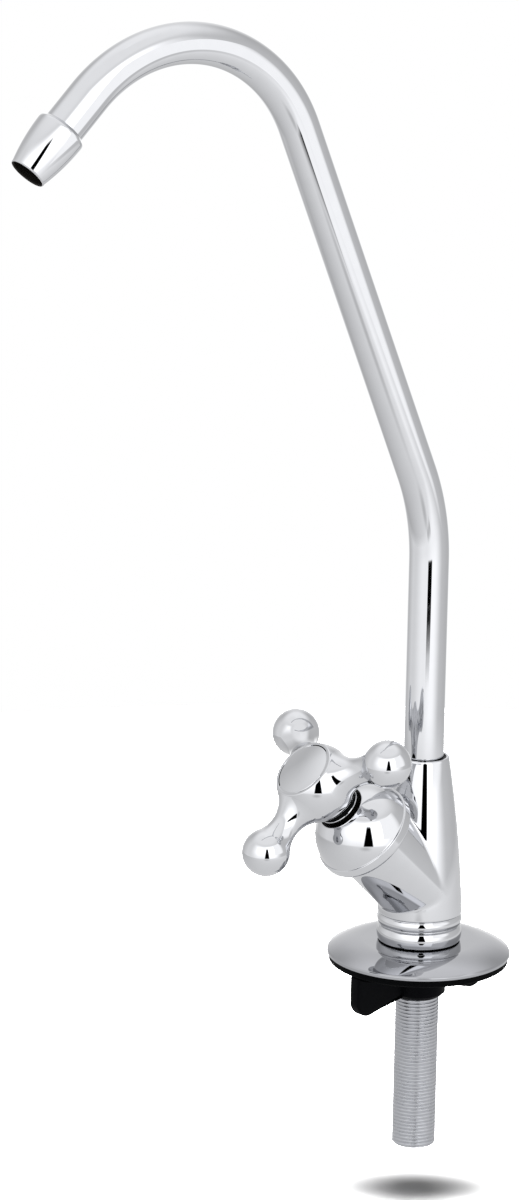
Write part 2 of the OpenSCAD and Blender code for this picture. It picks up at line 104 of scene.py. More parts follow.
# Polished chrome plate: a clear mirror, a little bluish. Hand polishing leaves slow waves about 9 mm apart,
# and wiping leaves a trace of haze in patches of about 4 mm.
polish_wave, wipe_patch = 9, 4
chrome, tree, place = start_material("polished_chrome")
wave = add_node(tree, "ShaderNodeTexNoise", {
    "Vector": place, "Scale": 1000 / polish_wave, "Detail": 1.0, "Roughness": 0.4})
wavy = add_node(tree, "ShaderNodeBump", {
    "Height": wave.outputs["Fac"], "Strength": 1.0, "Distance": 0.000006})
haze, tint = mottled(tree, place, wipe_patch, "#C2C3C6", "#C7C8CB", Detail=3.0)
hazy = add_node(tree, "ShaderNodeMapRange", {
    "Value": haze, "From Min": 0.35, "From Max": 0.7, "To Min": 0.012, "To Max": 0.04})
mirror = add_node(tree, "ShaderNodeBsdfPrincipled", {
    "Base Color": tint, "Metallic": 1.0, "Roughness": hazy.outputs["Result"], "Normal": wavy.outputs[0]})
finish_material(tree, mirror)


def run(a, b, count=9):
    """Points on the straight line from a to b, crowded towards both ends by a half cosine."""
    t = (1 - np.cos(np.pi * np.linspace(0, 1, count))) / 2
    return np.array(a, float) + t[:, None] * (np.array(b, float) - np.array(a, float))


def arc(centre, radius, start, stop, count=9):
    """Points on a circle about centre, from one angle to the other: radius times (cos, sin)."""
    angle = np.radians(np.linspace(start, stop, count))
    return np.array(centre, float) + radius * np.stack([np.cos(angle), np.sin(angle)], 1)


def outline(*stretches):
    """One outline (radius, height) from stretches laid end to end, without repeated points."""
    points = np.concatenate(stretches)
    return points[np.r_[True, np.linalg.norm(np.diff(points, axis=0), axis=1) > 1e-4]]


def spin(profile, origin=(0, 0, 0), cross=((1, 0, 0), (0, 1, 0)), around=144):
    """Rings of a turned piece: a point (r, h) of the profile goes round to
    origin + r cos v * cross 1 + r sin v * cross 2 + h * (cross 1 x cross 2)."""
    v = np.linspace(0, 2 * np.pi, around, endpoint=False)
    first, second = np.array(cross, float)
    spoke = np.cos(v)[:, None] * first + np.sin(v)[:, None] * second
    axis = np.cross(first, second)
    return np.array(origin, float) + profile[:, 0, None, None] * spoke + profile[:, 1, None, None] * axis


def cover(rings, loop=False, ends=(False, False), finish=0):
    """Faces over a grid of closed rings: each point joins the next in its ring and in the next ring.

    With loop, the last ring joins the first. An end is closed by triangles to the middle of its ring.
    finish is the material of each row.
    """
    rows, around = rings.shape[:2]
    points = rings.reshape(-1, 3)
    index = np.arange(rows * around).reshape(rows, around)
    near = index if loop else index[:-1]
    far = np.roll(index, -1, 0) if loop else index[1:]
    quads = np.stack([near, np.roll(near, -1, 1), np.roll(far, -1, 1), far], -1).reshape(-1, 4)
    fans = np.empty((0, 3), int)
    for ring, end, turned in ((0, ends[0], -1), (-1, ends[1], 1)):
        if end:
            rim = np.stack([index[ring], np.roll(index[ring], -1)], -1)[:, ::turned]
            fans = np.concatenate([fans, np.column_stack([np.full(around, len(points)), rim])])
            points = np.concatenate([points, rings[ring].mean(0, keepdims=True)])
    look = np.repeat(np.broadcast_to(finish, (rows,))[:len(near)], around)
    return points, quads, fans, look


def build(name, covers, *finishes):
    """One smooth-shaded mesh object, in metres, from several covers, with their materials."""
    start = np.cumsum([0] + [len(c[0]) for c in covers[:-1]])
    points = np.concatenate([c[0] for c in covers])
    quads = np.concatenate([c[1] + s for c, s in zip(covers, start)])
    fans = np.concatenate([c[2] + s for c, s in zip(covers, start)])
    look = np.concatenate([c[3] for c in covers] + [np.zeros(len(fans), int)])
    first = np.concatenate([np.arange(len(quads)) * 4, quads.size + np.arange(len(fans)) * 3])
    mesh = bpy.data.meshes.new(name)
    for finish in finishes:
        mesh.materials.append(finish)
    mesh.vertices.add(len(points))
    mesh.vertices.foreach_set("co", (points / 1000).ravel())
    mesh.loops.add(quads.size + fans.size)
    mesh.loops.foreach_set("vertex_index", np.concatenate([quads.ravel(), fans.ravel()]).astype(np.int32))
    mesh.polygons.add(len(first))
    mesh.polygons.foreach_set("loop_start", first.astype(np.int32))
    mesh.polygons.foreach_set("material_index", look.astype(np.int32))
    mesh.polygons.foreach_set("use_smooth", np.ones(len(first), bool))
    mesh.update(calc_edges=True)
    piece = bpy.data.objects.new(name, mesh)
    bpy.context.scene.collection.objects.link(piece)
    return piece


# Black EPDM rubber: almost black and matt, with a fine moulded grain of about 0.25 mm and a dusty bloom in
# patches of about 7 mm.
mould_grain, bloom_patch = 0.25, 7
rubber, tree, place = start_material("black_epdm_rubber")
grain = add_node(tree, "ShaderNodeTexNoise", {"Vector": place, "Scale": 1000 / mould_grain, "Detail": 2.0})
rough = add_node(tree, "ShaderNodeBump", {
    "Height": grain.outputs["Fac"], "Strength": 0.5, "Distance": 0.00004})
_, dusty = mottled(tree, place, bloom_patch, "#040506", "#0A0B0D", Detail=3.0)
matt = add_node(tree, "ShaderNodeBsdfPrincipled", {
    "Base Color": dusty, "Roughness": 0.62, "Specular IOR Level": 0.03, "Normal": rough.outputs[0]})
finish_material(tree, matt)

foot_z, column_z, column_top = 6.0, 14.5, 58.6
foot_bore, foot_shade_r, foot_shade_height = 6.05, 11.2, 0.25
column_foot_r, column_taper, column_bow = 11.65, 4.6, 0.6465
edge_round, mouth_round = 0.35, 0.2
# Each bead's middle, half height, radius and sag, and the bottom of the groove between them.
low_bead, high_bead = (8.4, 2.05, 11.75, 0.4), (12.45, 1.25, 11.72, 0.3)
groove_r, groove_z = 10.75, 10.84
recess_r, recess_z, spigot_bore, spigot_z = 6.2, 56.0, 5.55, 42.0
branch_z, branch_r, branch_len = 20.4, 11.2, 26.5
blend_least, blend_more, seam_soft, sink = 0.15, 1.0, 0.06, 1.6
cos_45 = math.sqrt(0.5)
branch_axis = np.array([0, -cos_45, cos_45])
branch_cross = np.array([[1, 0, 0], [0, cos_45, cos_45]])
branch_foot = np.array([0, 0, branch_z])


def column_radius(z):
    """Radius of the column's side at height z, and its slope: a straight taper plus a bow of 4 t (1 - t)."""
    length = column_top - column_z
    t = np.clip((z - column_z) / length, 0, 1)
    radius = column_foot_r - column_taper * t + 4 * column_bow * t * (1 - t)
    return radius, (-column_taper + 4 * column_bow * (1 - 2 * t)) / length


def bead(middle, half_height, radius, sag, count=26):
    """Half-round bead: the radius falls with the square of the height off its middle, by sag at its edges."""
    z = np.linspace(middle - half_height, middle + half_height, count)
    return np.stack([radius - sag * ((z - middle) / half_height) ** 2, z], 1)


def blended(points):
    """Soft union of branch and column: h slides from 0 at the column to 1 at the branch across a width k, and
    the surface lies where d = (1 - h) d_column + h d_branch - k h (1 - h) is 0. k is blend_least, plus
    blend_more times what the cosine of the angle between the two surfaces falls short of 1."""
    reach = points - branch_foot
    spoke = reach - np.maximum(reach @ branch_axis, 0)[..., None] * branch_axis
    away = np.linalg.norm(spoke, axis=-1)
    branch_normal = spoke / away[..., None]
    radius, slope = column_radius(points[..., 2])
    out = np.hypot(points[..., 0], points[..., 1])
    tilt = 1 / np.sqrt(1 + slope ** 2)
    column_normal = np.stack([points[..., 0] / out * tilt, points[..., 1] / out * tilt, -slope * tilt], -1)
    d_branch, d_column = away - branch_r, (out - radius) * tilt
    k = blend_least + blend_more * (1 - (branch_normal * column_normal).sum(-1))
    h = np.clip(0.5 + 0.5 * (d_column - d_branch) / k, 0, 1)
    normal = h[..., None] * branch_normal + (1 - h[..., None]) * column_normal
    normal /= np.linalg.norm(normal, axis=-1, keepdims=True)
    return (1 - h) * d_column + h * d_branch - k * h * (1 - h), h, normal, d_branch, d_column


def settle(rings, on_branch):
    """Moves a grid onto the soft union, and lowers it under the other grid past their seam.

    At the seam h is a half. Where h is past that and seam_soft more, by p, the grid sinks by sink times p to
    the power 1.5. Only points that lie on the grid's own surface and less than 2 mm inside the other one
    move. Returns the grid and its normals, which are zero where the mesh keeps its own.
    """
    points = rings.copy()
    d_branch, d_column = blended(points)[3:]
    own, other = (d_branch, d_column) if on_branch else (d_column, d_branch)
    free = (np.abs(own) < 0.01) & (other > -2.0) & (points[..., 2] > column_z)
    for _ in range(6):
        d, _, normal = blended(points)[:3]
        points = np.where(free[..., None], points - d[..., None] * normal, points)
    _, h, normal = blended(points)[:3]
    past_seam = np.clip((0.5 - h if on_branch else h - 0.5) - seam_soft, 0, 1)
    points = np.where(free[..., None], points - (sink * past_seam ** 1.5)[..., None] * normal, points)
    soft = free & (h > 0.002) & (h < 0.998)
    return points, np.where(soft[..., None], normal, 0.0)


# Up the outside: sealing ring, low bead, groove, high bead, neck, side and rounded top edge.
# Down the inside: recess for the spout's bush, bore of the spigot and bore of the foot.
side_z = np.linspace(column_z, column_top - edge_round, 170)
column_line = outline(
    run((foot_bore, foot_z), (foot_shade_r - 0.1, foot_z), 5),
    run((foot_shade_r, foot_z + 0.05), (foot_shade_r, foot_z + foot_shade_height), 4),
    run((foot_shade_r + 0.02, foot_z + 0.3), (foot_shade_r + 0.1, foot_z + 0.3), 3),
    bead(*low_bead), run((11.2, 10.52), (groove_r, groove_z - 0.02), 4),
    run((groove_r + 0.01, groove_z + 0.02), (11.25, 11.15), 4), bead(*high_bead),
    [[11.3, 13.8], [11.22, 13.9], [11.3, 14.0], [11.5, 14.1], [11.6, 14.25]],
    np.stack([column_radius(side_z)[0], side_z], 1),
    arc((6.72, column_top - edge_round), edge_round, 8, 90, 7), run((6.7, column_top), (6.4, column_top), 4),
    arc((recess_r + mouth_round, column_top - mouth_round), mouth_round, 90, 180, 5),
    run((recess_r, column_top - mouth_round), (recess_r, recess_z), 5),
    run((spigot_bore, recess_z), (spigot_bore, spigot_z), 4),
    run((foot_bore, spigot_z), (foot_bore, foot_z), 5))
column, column_normals = settle(spin(column_line, around=216), False)
branch_line = np.stack([np.full(130, branch_r), np.linspace(0, branch_len - 0.1, 130)], 1)
branch, branch_normals = settle(spin(branch_line, branch_foot, branch_cross, 168), True)
# The band at the foot takes the black rubber: painted shade for the contact line with the base plate.
at_foot_shade = (column_line[:, 0] > foot_shade_r - 0.15) & (column_line[:, 0] < foot_shade_r + 0.05)
foot_shade_rows = at_foot_shade & (column_line[:, 1] < foot_z + foot_shade_height + 0.03)
body = build("tap_body_casting", [
    cover(column, loop=True, finish=foot_shade_rows.astype(int)), cover(branch, ends=(True, True))], chrome, rubber)
branch_end_normals = np.zeros((2, 3))
body.data.normals_split_custom_set_from_vertices(
    np.concatenate([column_normals.reshape(-1, 3), branch_normals.reshape(-1, 3), branch_end_normals]))
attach(body, "tap_body")
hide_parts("body")

# Base plate
# Steel sheet pressed into a flat land with a rounded shoulder and a short plain rim, polished and chromed.
# The body's foot clamps it down on the rubber washer.
plate_r, plate_top, plate_under, plate_hole, plate_wall = 25.25, 5.95, 4.8, 6.3, 1.2
land_r, shoulder_r, shoulder_round = 15.5, 17.587, 0.2
rim_z, rim_top, rim_round = 2.0, 2.72, 0.12
shoulder_z = plate_top - shoulder_r
shoulder_end = math.degrees(math.acos((plate_r - shoulder_round - land_r) / shoulder_r))
plate_line = outline(
    run((plate_hole, plate_under), (land_r, plate_under), 5),
    arc((land_r, shoulder_z), shoulder_r - plate_wall, 89, 60, 12),
    run((plate_r - plate_wall, 2.9), (plate_r - plate_wall, rim_z + 0.1), 4),
    run((plate_r - plate_wall + 0.1, rim_z), (plate_r - rim_round, rim_z), 4),
    arc((plate_r - rim_round, rim_z + rim_round), rim_round, -90, 0, 5),
    run((plate_r, rim_z + rim_round), (plate_r, rim_top), 5),
    arc((plate_r - shoulder_round, rim_top), shoulder_round, 0, shoulder_end, 6),
    arc((land_r, shoulder_z), shoulder_r, shoulder_end, 90, 60),
    run((land_r, plate_top), (plate_hole + 0.1, plate_top), 10),
    run((plate_hole, plate_top - 0.05), (plate_hole, plate_under), 4))
# Thin chrome straight on pressed steel: the same mirror, but greyer, with a faint drag of the press in
# patches of about 6 mm. The grey is partly painted shade, which dims all of the plate's reflections.
drag_patch = 6
shaded_thin_chrome, tree, place = start_material("thin_chrome_with_painted_shade")
drag, shaded_grey = mottled(tree, place, drag_patch, "#9FA0A4", "#A5A6AA", Detail=3.0)
clouded = add_node(tree, "ShaderNodeMapRange", {"Value": drag, "To Min": 0.015, "To Max": 0.06})
chromed = add_node(tree, "ShaderNodeBsdfPrincipled", {
    "Base Color": shaded_grey, "Metallic": 1.0, "Roughness": clouded.outputs["Result"]})
finish_material(tree, chromed)
plate = build("base_plate_pressing", [cover(spin(plate_line, around=240), loop=True)], shaded_thin_chrome)
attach(plate, "tap_body")
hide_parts("base_plate")

# Deck washer
# Moulded black rubber ring under the plate, which seals the worktop. Its edge is rounded by the mould.
# Its middle swells up into the plate's hollow.
washer_r, washer_in, washer_z, washer_top = 24.75, 23.75, 2.0, 4.45
low_round, high_round = 0.5, 0.4
washer_line = outline(
    run((plate_hole, 0), (washer_r - low_round - 0.05, 0), 6),
    arc((washer_r - low_round, low_round), low_round, -90, 0, 7),
    run((washer_r, low_round), (washer_r, washer_z - high_round), 5),
    arc((washer_r - high_round, washer_z - high_round), high_round, 0, 90, 7),
    run((washer_r - high_round, washer_z), (washer_in, washer_z), 4),
    run((washer_in, washer_z + 0.1), (washer_in, washer_z + 0.6), 3),
    run((22, 3.4), (land_r, washer_top - 0.05), 5),
    run((land_r, washer_top), (plate_hole, washer_top), 4),
    run((plate_hole, washer_top - 0.05), (plate_hole, 0.1), 4))
washer = build("deck_washer_rubber", [cover(spin(washer_line, around=192), loop=True)], rubber)
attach(washer, "tap_body")
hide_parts("deck_washer")

# Shank
# Steel tube with a rolled M12 x 1 thread over its free length, zinc plated and left dull, its end chamfered.
# It screws into the body's foot and takes the supply tube in its bore.
shank_r, shank_bore, shank_end, shank_top = 6.0, 3.25, -53.5, 15.4
pitch, thread_depth, run_out, end_r, end_slope = 1.0, 0.3, 1.5, 5.6, 0.9
thread_steep, thread_flat, shank_around, bore_rows = 2.2, 0.15, 84, 10
shank_turn = np.linspace(0, 2 * np.pi, shank_around, endpoint=False)
climb = np.concatenate([np.linspace(shank_end, 0, 600), np.linspace(0.4, shank_top, 12)])
# The thread is a triangle wave of the height in pitches less the turn, made steeper by thread_steep, lowered
# by thread_flat, and cut off flat at crest and root.
flank = (climb[:, None] / pitch - shank_turn / (2 * np.pi)) % 1.0
crest = np.clip(thread_steep * (1 - np.abs(2 * flank - 1)) - thread_flat, 0, 1)
thread = shank_r - thread_depth * (1 - crest) * np.clip(-climb / run_out, 0, 1)[:, None]
thread = np.minimum(thread, end_r + end_slope * (climb[:, None] - shank_end))
bore_line = np.stack([np.full(bore_rows, shank_bore), np.linspace(shank_top, shank_end, bore_rows)], 1)
shank_rings = np.concatenate([
    np.stack([thread * np.cos(shank_turn), thread * np.sin(shank_turn),
              np.broadcast_to(climb[:, None], thread.shape)], -1),
    spin(bore_line, around=shank_around)])
# Zinc-plated steel: light grey with a soft shine, a little cloudy where the passivation lies thicker.
zinc_patch = 5
zinc, tree, place = start_material("zinc_plated_steel")
cloud, pale = mottled(tree, place, zinc_patch, "#A5A7AC", "#B7B8BC", Detail=4.0)
dull = add_node(tree, "ShaderNodeMapRange", {"Value": cloud, "To Min": 0.22, "To Max": 0.34})
passivated = add_node(tree, "ShaderNodeBsdfPrincipled", {
    "Base Color": pale, "Metallic": 1.0, "Roughness": dull.outputs["Result"]})
finish_material(tree, passivated)
shank = build("threaded_shank", [cover(shank_rings, loop=True)], zinc)
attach(shank, "tap_body")
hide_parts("shank")

# Wing nut
# One black nylon moulding: a chamfered hub with a flange under the worktop and two deep wings for the hand.
# It runs on the shank's thread, with a slip washer above it.
nut_bore, nut_r, nut_foot, nut_top, nut_edge = 6.05, 7.7, -9.9, -0.3, 0.3
flange_r, seat_r, seat_z = 12.4, 11.3, -1.2
wing_reach, wing_low, tip_r, top_round, wing_edge, half_thick = 24.0, -11.9, 4.2, 0.6, 0.7, 1.8
wing_turn = math.radians(7)
# A wing's lower edge leaves the hub at its root and touches the round tip.
tip, root = np.array([wing_reach - tip_r, wing_low + tip_r]), np.array([nut_r, -8.9])
toward = math.atan2(*(tip - root)[::-1]) - math.asin(tip_r / np.linalg.norm(tip - root))
edge_len = math.sqrt(((tip - root) ** 2).sum() - tip_r ** 2)
touch = root + edge_len * np.array([math.cos(toward), math.sin(toward)])
one_wing = outline(
    run(root, touch, 12), arc(tip, tip_r, math.degrees(toward) - 90, 0, 30),
    run((wing_reach, tip[1]), (wing_reach, nut_top - top_round), 8),
    arc((wing_reach - top_round, nut_top - top_round), top_round, 0, 90, 7))
both_wings = np.concatenate([one_wing, one_wing[::-1] * (-1, 1)])
along = np.roll(both_wings, -1, 0) - np.roll(both_wings, 1, 0)
outward = np.stack([along[:, 1], -along[:, 0]], 1) / np.linalg.norm(along, axis=1, keepdims=True)
# Rings across the wings' thickness, drawn in by a quarter round at both faces.
bevel = np.radians(np.linspace(0, 90, 7))
inset = wing_edge * (1 - np.concatenate([np.sin(bevel), np.cos(bevel)]))
thick = np.concatenate([
    wing_edge * (1 - np.cos(bevel)) - half_thick, half_thick - wing_edge * (1 - np.sin(bevel))])
sheet = both_wings - inset[:, None, None] * outward
finger = np.array([-math.sin(wing_turn), math.cos(wing_turn), 0])
broad = np.array([math.cos(wing_turn), math.sin(wing_turn), 0])
wings = sheet[..., :1] * finger + sheet[..., 1:] * np.array([0, 0, 1.0]) + thick[:, None, None] * broad
nut_line = outline(
    run((nut_bore, nut_foot), (6.5, nut_foot), 3), arc((6.5, nut_foot + nut_edge), nut_edge, -90, -45, 4),
    arc((nut_r - nut_edge, -8.75), nut_edge, -40, 0, 4), run((nut_r, -8.7), (nut_r, -4.6), 6),
    arc((nut_r + 0.5, -4.6), 0.5, 180, 106, 5), arc((flange_r - nut_edge, -2.85), nut_edge, -80, 0, 5),
    run((flange_r, -2.8), (flange_r, nut_top - nut_edge), 4),
    arc((flange_r - nut_edge, nut_top - nut_edge), nut_edge, 0, 90, 4),
    run((flange_r - nut_edge, nut_top), (seat_r, nut_top), 3),
    run((seat_r, nut_top - 0.1), (seat_r, seat_z), 3), run((seat_r - 0.1, seat_z), (nut_bore, seat_z), 3),
    run((nut_bore, seat_z - 0.1), (nut_bore, nut_foot + 0.1), 4))
# Black glass-filled nylon: near black, half gloss, with a moulded texture of about 0.4 mm and faint flow
# marks about 8 mm wide.
mould_texture, flow_patch = 0.4, 8
nylon, tree, place = start_material("black_moulded_nylon")
texture = add_node(tree, "ShaderNodeTexNoise", {
    "Vector": place, "Scale": 1000 / mould_texture, "Detail": 2.0})
pebbled = add_node(tree, "ShaderNodeBump", {
    "Height": texture.outputs["Fac"], "Strength": 0.35, "Distance": 0.00005})
flow, streak = mottled(tree, place, flow_patch, "#060709", "#0B0C10", Detail=2.0, Distortion=1.5)
satin = add_node(tree, "ShaderNodeMapRange", {"Value": flow, "To Min": 0.4, "To Max": 0.55})
moulded = add_node(tree, "ShaderNodeBsdfPrincipled", {
    "Base Color": streak, "Specular IOR Level": 0.03, "Roughness": satin.outputs["Result"],
    "Normal": pebbled.outputs[0]})
finish_material(tree, moulded)
nut = build("wing_nut_moulding", [
    cover(spin(nut_line, around=120), loop=True), cover(wings, ends=(True, True))], nylon)
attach(nut, "wing_nut")
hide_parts("wing_nut")
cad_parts["slip_washer"].data.materials.clear()
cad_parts["slip_washer"].data.materials.append(nylon)

# Spout tube
# Drawn brass tube, bent forward above the column and over the top, then polished and chrome plated.
# Its foot turns in the column on a spigot with two seals.
tube_r, tube_bore, tube_foot = 5.5, 4.5, 52.0
bend_z, bend_r, lean, lean_len = 113.6, 65.0, 23.0, 104.1
arc_r, outlet_turn, end_len, seat_len = 40.0, 135.0, 10.4, 7.0
lean_cos, lean_sin = math.cos(math.radians(lean)), math.sin(math.radians(lean))
bend_end = np.array([bend_r * (lean_cos - 1), bend_z + bend_r * lean_sin])
lean_end = bend_end + lean_len * np.array([-lean_sin, lean_cos])
arc_centre = lean_end - arc_r * np.array([lean_cos, lean_sin])
arc_end = arc_centre + arc_r * np.array([-cos_45, cos_45])
# Each stretch is its points in the spout's plane and its heading there. The bends leave out their end points.
stretches = (
    (np.linspace((0, tube_foot), (0, bend_z), 40), np.zeros(40)),
    (arc((-bend_r, bend_z), bend_r, 0.8, lean - 0.8, 28), np.linspace(0.8, lean - 0.8, 28)),
    (np.linspace(bend_end, lean_end, 50), np.full(50, lean)),
    (arc(arc_centre, arc_r, lean + 1, outlet_turn - 1, 110), np.linspace(lean + 1, outlet_turn - 1, 110)),
    (np.linspace(arc_end, arc_end - (end_len + seat_len) * cos_45, 12), np.full(12, outlet_turn)))
path = np.concatenate([points for points, _ in stretches])
heading = np.radians(np.concatenate([turns for _, turns in stretches]))


def tube_wall(radius, around=112):
    """Rings along the spout's path: at each point, radius cos v sideways, radius sin v across the heading."""
    v = np.linspace(0, 2 * np.pi, around, endpoint=False)
    x = np.broadcast_to(radius * np.cos(v), (len(path), around))
    rise = radius * np.sin(v)
    y = path[:, :1] + rise * np.cos(heading)[:, None]
    z = path[:, 1:] + rise * np.sin(heading)[:, None]
    return np.stack([x, y, z], -1)


# Bare drawn brass inside the tube, painted near black: painted shade of the tube's inside, so that the mouth
# looks black.
bore_patch = 2
shaded_bore, tree, place = start_material("bore_in_painted_shade")
_, dark = mottled(tree, place, bore_patch, "#0A0908", "#17130D", Detail=3.0)
shaded_inside = add_node(tree, "ShaderNodeBsdfPrincipled", {
    "Base Color": dark, "Roughness": 0.6, "Specular IOR Level": 0.2})
finish_material(tree, shaded_inside)
tube_rings = np.concatenate([tube_wall(tube_r), tube_wall(tube_bore)[::-1]])
tube_look = np.repeat([0, 1], len(path))
tube = build("spout_tube_drawn", [cover(tube_rings, loop=True, finish=tube_look)], chrome, shaded_bore)
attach(tube, "spout")
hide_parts("spout_tube")

# Spout nozzle
# Turned brass collar on the tube's end: a chamfered shoulder, then a slightly bowed taper to a thin mouth.
# It is soldered on and chromed with the tube.
nozzle_len, shoulder_wide, taper_at, taper_bow = 15.1, 6.83, 1.3, 0.445
mouth, mouth_edge, nozzle_bore, socket_r = 4.95, 0.1, 4.48, 5.52
outlet = np.array([0, -cos_45, -cos_45])
nozzle_cross = np.array([[1, 0, 0], [0, -cos_45, cos_45]])
nozzle_foot = np.array([0, *arc_end]) + end_len * outlet
taper = np.linspace(0, 1, 40)
nozzle_side = np.stack([
    shoulder_wide + (mouth - shoulder_wide) * taper + 4 * taper_bow * taper * (1 - taper),
    taper_at + (nozzle_len - 0.08 - taper_at) * taper], 1)
nozzle_out = outline(
    run((socket_r, 0), (5.7, 0.05), 3), run((5.75, 0.08), (6.6, 0.9), 6), arc((6.3, 1.25), 0.5, -48, 0, 6),
    nozzle_side, arc((mouth - mouth_edge, nozzle_len - mouth_edge), mouth_edge, 10, 90, 5))
nozzle_in = outline(
    run((mouth - 0.15, nozzle_len), (nozzle_bore, nozzle_len - 0.3), 4),
    run((nozzle_bore, nozzle_len - 0.4), (nozzle_bore, seat_len), 6),
    run((socket_r, seat_len - 0.1), (socket_r, 0.1), 4))
nozzle_rings = spin(np.concatenate([nozzle_out, nozzle_in]), nozzle_foot, nozzle_cross, 128)
nozzle_look = np.repeat([0, 1], [len(nozzle_out), len(nozzle_in)])
# The nozzle's bore takes the same painted shade.
nozzle = build("spout_nozzle_turned", [cover(nozzle_rings, loop=True, finish=nozzle_look)], chrome, shaded_bore)
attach(nozzle, "spout")
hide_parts("spout_nozzle")

# Bonnet
# Turned and chromed brass dome that hides the valve. Its lip is a narrow band round the end of the branch,
# and the neck of the valve's cartridge carries it. Heights are along the branch, from its foot.
lip_r, lip_foot, lip_top, foot_round, lip_round = 14.2, 25.4, 28.8, 1.3, 0.25
dome_r, dome_in, dome_at, bonnet_bore = 13.85, 12.7, 26.9, 11.3
bonnet_line = outline(
    run((bonnet_bore, lip_foot), (lip_r - foot_round, lip_foot), 5),
    arc((lip_r - foot_round, lip_foot + foot_round), foot_round, -90, 0, 12),
    run((lip_r, lip_foot + foot_round), (lip_r, lip_top - lip_round), 7),
    arc((lip_r - lip_round, lip_top - lip_round), lip_round, 0, 90, 6),
    [[13.86, lip_top], [13.78, lip_top + 0.03], [13.73, lip_top + 0.1], [13.7, lip_top + 0.18]],
    arc((0, dome_at), dome_r, 9.0, 60.6, 80), arc((6.72, 38.88), 0.15, 62, 150, 5),
    run((6.5, 38.7), (5.9, 38.25), 4), arc((0, dome_at), dome_in, 62.5, -1.8, 20),
    run((12.6, lip_foot + 1.1), (bonnet_bore, lip_foot + 1.1), 3),
    run((bonnet_bore, lip_foot + 1.0), (bonnet_bore, lip_foot + 0.1), 3))
bonnet = build("bonnet_dome", [cover(spin(bonnet_line, branch_foot, branch_cross, 200), loop=True)], chrome)
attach(bonnet, "tap_body")
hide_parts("bonnet")

# Handle
# Zinc casting with a round hub, a short skirt and three arms that swell out into balls, polished and chromed.
# A screw under the cap holds it on the valve's spindle. A band round its skirt, at a shallow groove, is black
# rubber: painted shade for the dark gap between the skirt and the bonnet.
handle_at, hub_r, cap_plane = 50.9, 10.8, 6.4
ball_reach, ball_r, waist_r, arm_turn, arm_count = 23.6, 6.5, 3.9, 32.0, 3
skirt_r, skirt_bore, skirt_end, skirt_round = 6.0, 5.35, -10.8, 0.2
shade_band_r, shade_band_foot, shade_band_top = 5.9, -10.4, -8.98
cap_seat_r, cap_seat_z, screw_hole, rim_edge = 8.0, 1.0, 2.2, 0.12
hold_edge, hold_r, hold_fade, hold_z, hold_rise = 0.3, 11.5, 2.0, 4.0, 1.5
handle_middle = branch_foot + handle_at * branch_axis
# The fillet's circle touches the hub's ball from outside.
fillet_r, fillet_x = 0.6, 6.6
fillet = np.array([fillet_x, -math.sqrt((hub_r + fillet_r) ** 2 - fillet_x ** 2)])
fillet_end = math.degrees(math.atan2(-fillet[1], -fillet[0]))
hub_line = outline(
    run((skirt_bore, skirt_end), (skirt_r - skirt_round, skirt_end), 3),
    arc((skirt_r - skirt_round, skirt_end + skirt_round), skirt_round, -90, 0, 5),
    run((skirt_r, skirt_end + skirt_round), (skirt_r, shade_band_foot - 0.05), 3),
    run((shade_band_r, shade_band_foot), (shade_band_r, -9.35), 6),
    arc(fillet, fillet_r, 180, fillet_end, 8), arc((0, 0), hub_r, fillet_end - 180, 35.0, 110),
    arc((8.52, cap_plane - 0.35), 0.35, 36, 90, 6),
    run((8.5, cap_plane), (cap_seat_r + rim_edge, cap_plane), 4),
    arc((cap_seat_r + rim_edge, cap_plane - rim_edge), rim_edge, 90, 180, 4),
    run((cap_seat_r, cap_plane - 0.2), (cap_seat_r, cap_seat_z), 5),
    run((cap_seat_r - 0.2, cap_seat_z), (screw_hole, cap_seat_z), 4),
    run((screw_hole, cap_seat_z - 0.2), (screw_hole, -1.6), 3), run((4, -2), (skirt_bore, -8), 4))
# The hollow of an arm is the circle that touches the hub, the ball and the waist: its radius f solves
# (waist + f)^2 + s^2 = (hub + f)^2, where s = s_0 + s_1 f, the waist's place, makes it touch the ball too.
s_0 = (hub_r ** 2 - ball_r ** 2 + ball_reach ** 2) / (2 * ball_reach)
s_1 = (hub_r - ball_r) / ball_reach
quad = np.array([s_1 ** 2, 2 * (s_0 * s_1 - hub_r + waist_r), s_0 ** 2 - hub_r ** 2 + waist_r ** 2])
flare_r = (-quad[1] - math.sqrt(quad[1] ** 2 - 4 * quad[0] * quad[2])) / (2 * quad[0])
hollow = np.array([waist_r + flare_r, s_0 + s_1 * flare_r])
at_hub = math.degrees(math.atan2(*hollow[::-1]))
at_ball = math.degrees(math.atan2(ball_reach - hollow[1], -hollow[0]))
# An arm starts a little below the hub's surface and comes up to it where the hollow begins.
under = np.radians(90 - at_hub + np.array([9, 6, 4, 2.5, 1.2]))
sunk_r = hub_r - np.array([0.6, 0.25, 0.1, 0.04, 0.012])
arm_line = outline(
    sunk_r[:, None] * np.stack([np.sin(under), np.cos(under)], 1),
    arc(hollow, flare_r, at_hub + 180, at_ball, 60),
    arc((0, ball_reach), ball_r, at_ball - 180, 89.5, 90))


def arm(turn):
    """One arm: its outline spun about the spoke at that turn.

    Near the hub, its height h over the spokes' plane is held under the cap's plane c by their soft minimum,
    ((h + c) - sqrt((h - c)^2 + e^2)) / 2, where e is hold_edge. This fades out by hold_r and down to hold_z.
    """
    spoke = math.cos(math.radians(turn)) * branch_cross[0] + math.sin(math.radians(turn)) * branch_cross[1]
    rings = spin(arm_line, cross=(branch_axis, np.cross(spoke, branch_axis)), around=128)
    height = rings @ branch_axis
    out = np.linalg.norm(rings - height[..., None] * branch_axis, axis=-1)
    held = ((height + cap_plane) - np.sqrt((height - cap_plane) ** 2 + hold_edge ** 2)) / 2
    near = np.clip((hold_r - out) / hold_fade, 0, 1) * np.clip((height - hold_z) / hold_rise, 0, 1)
    return handle_middle + rings + (near * (held - height))[..., None] * branch_axis
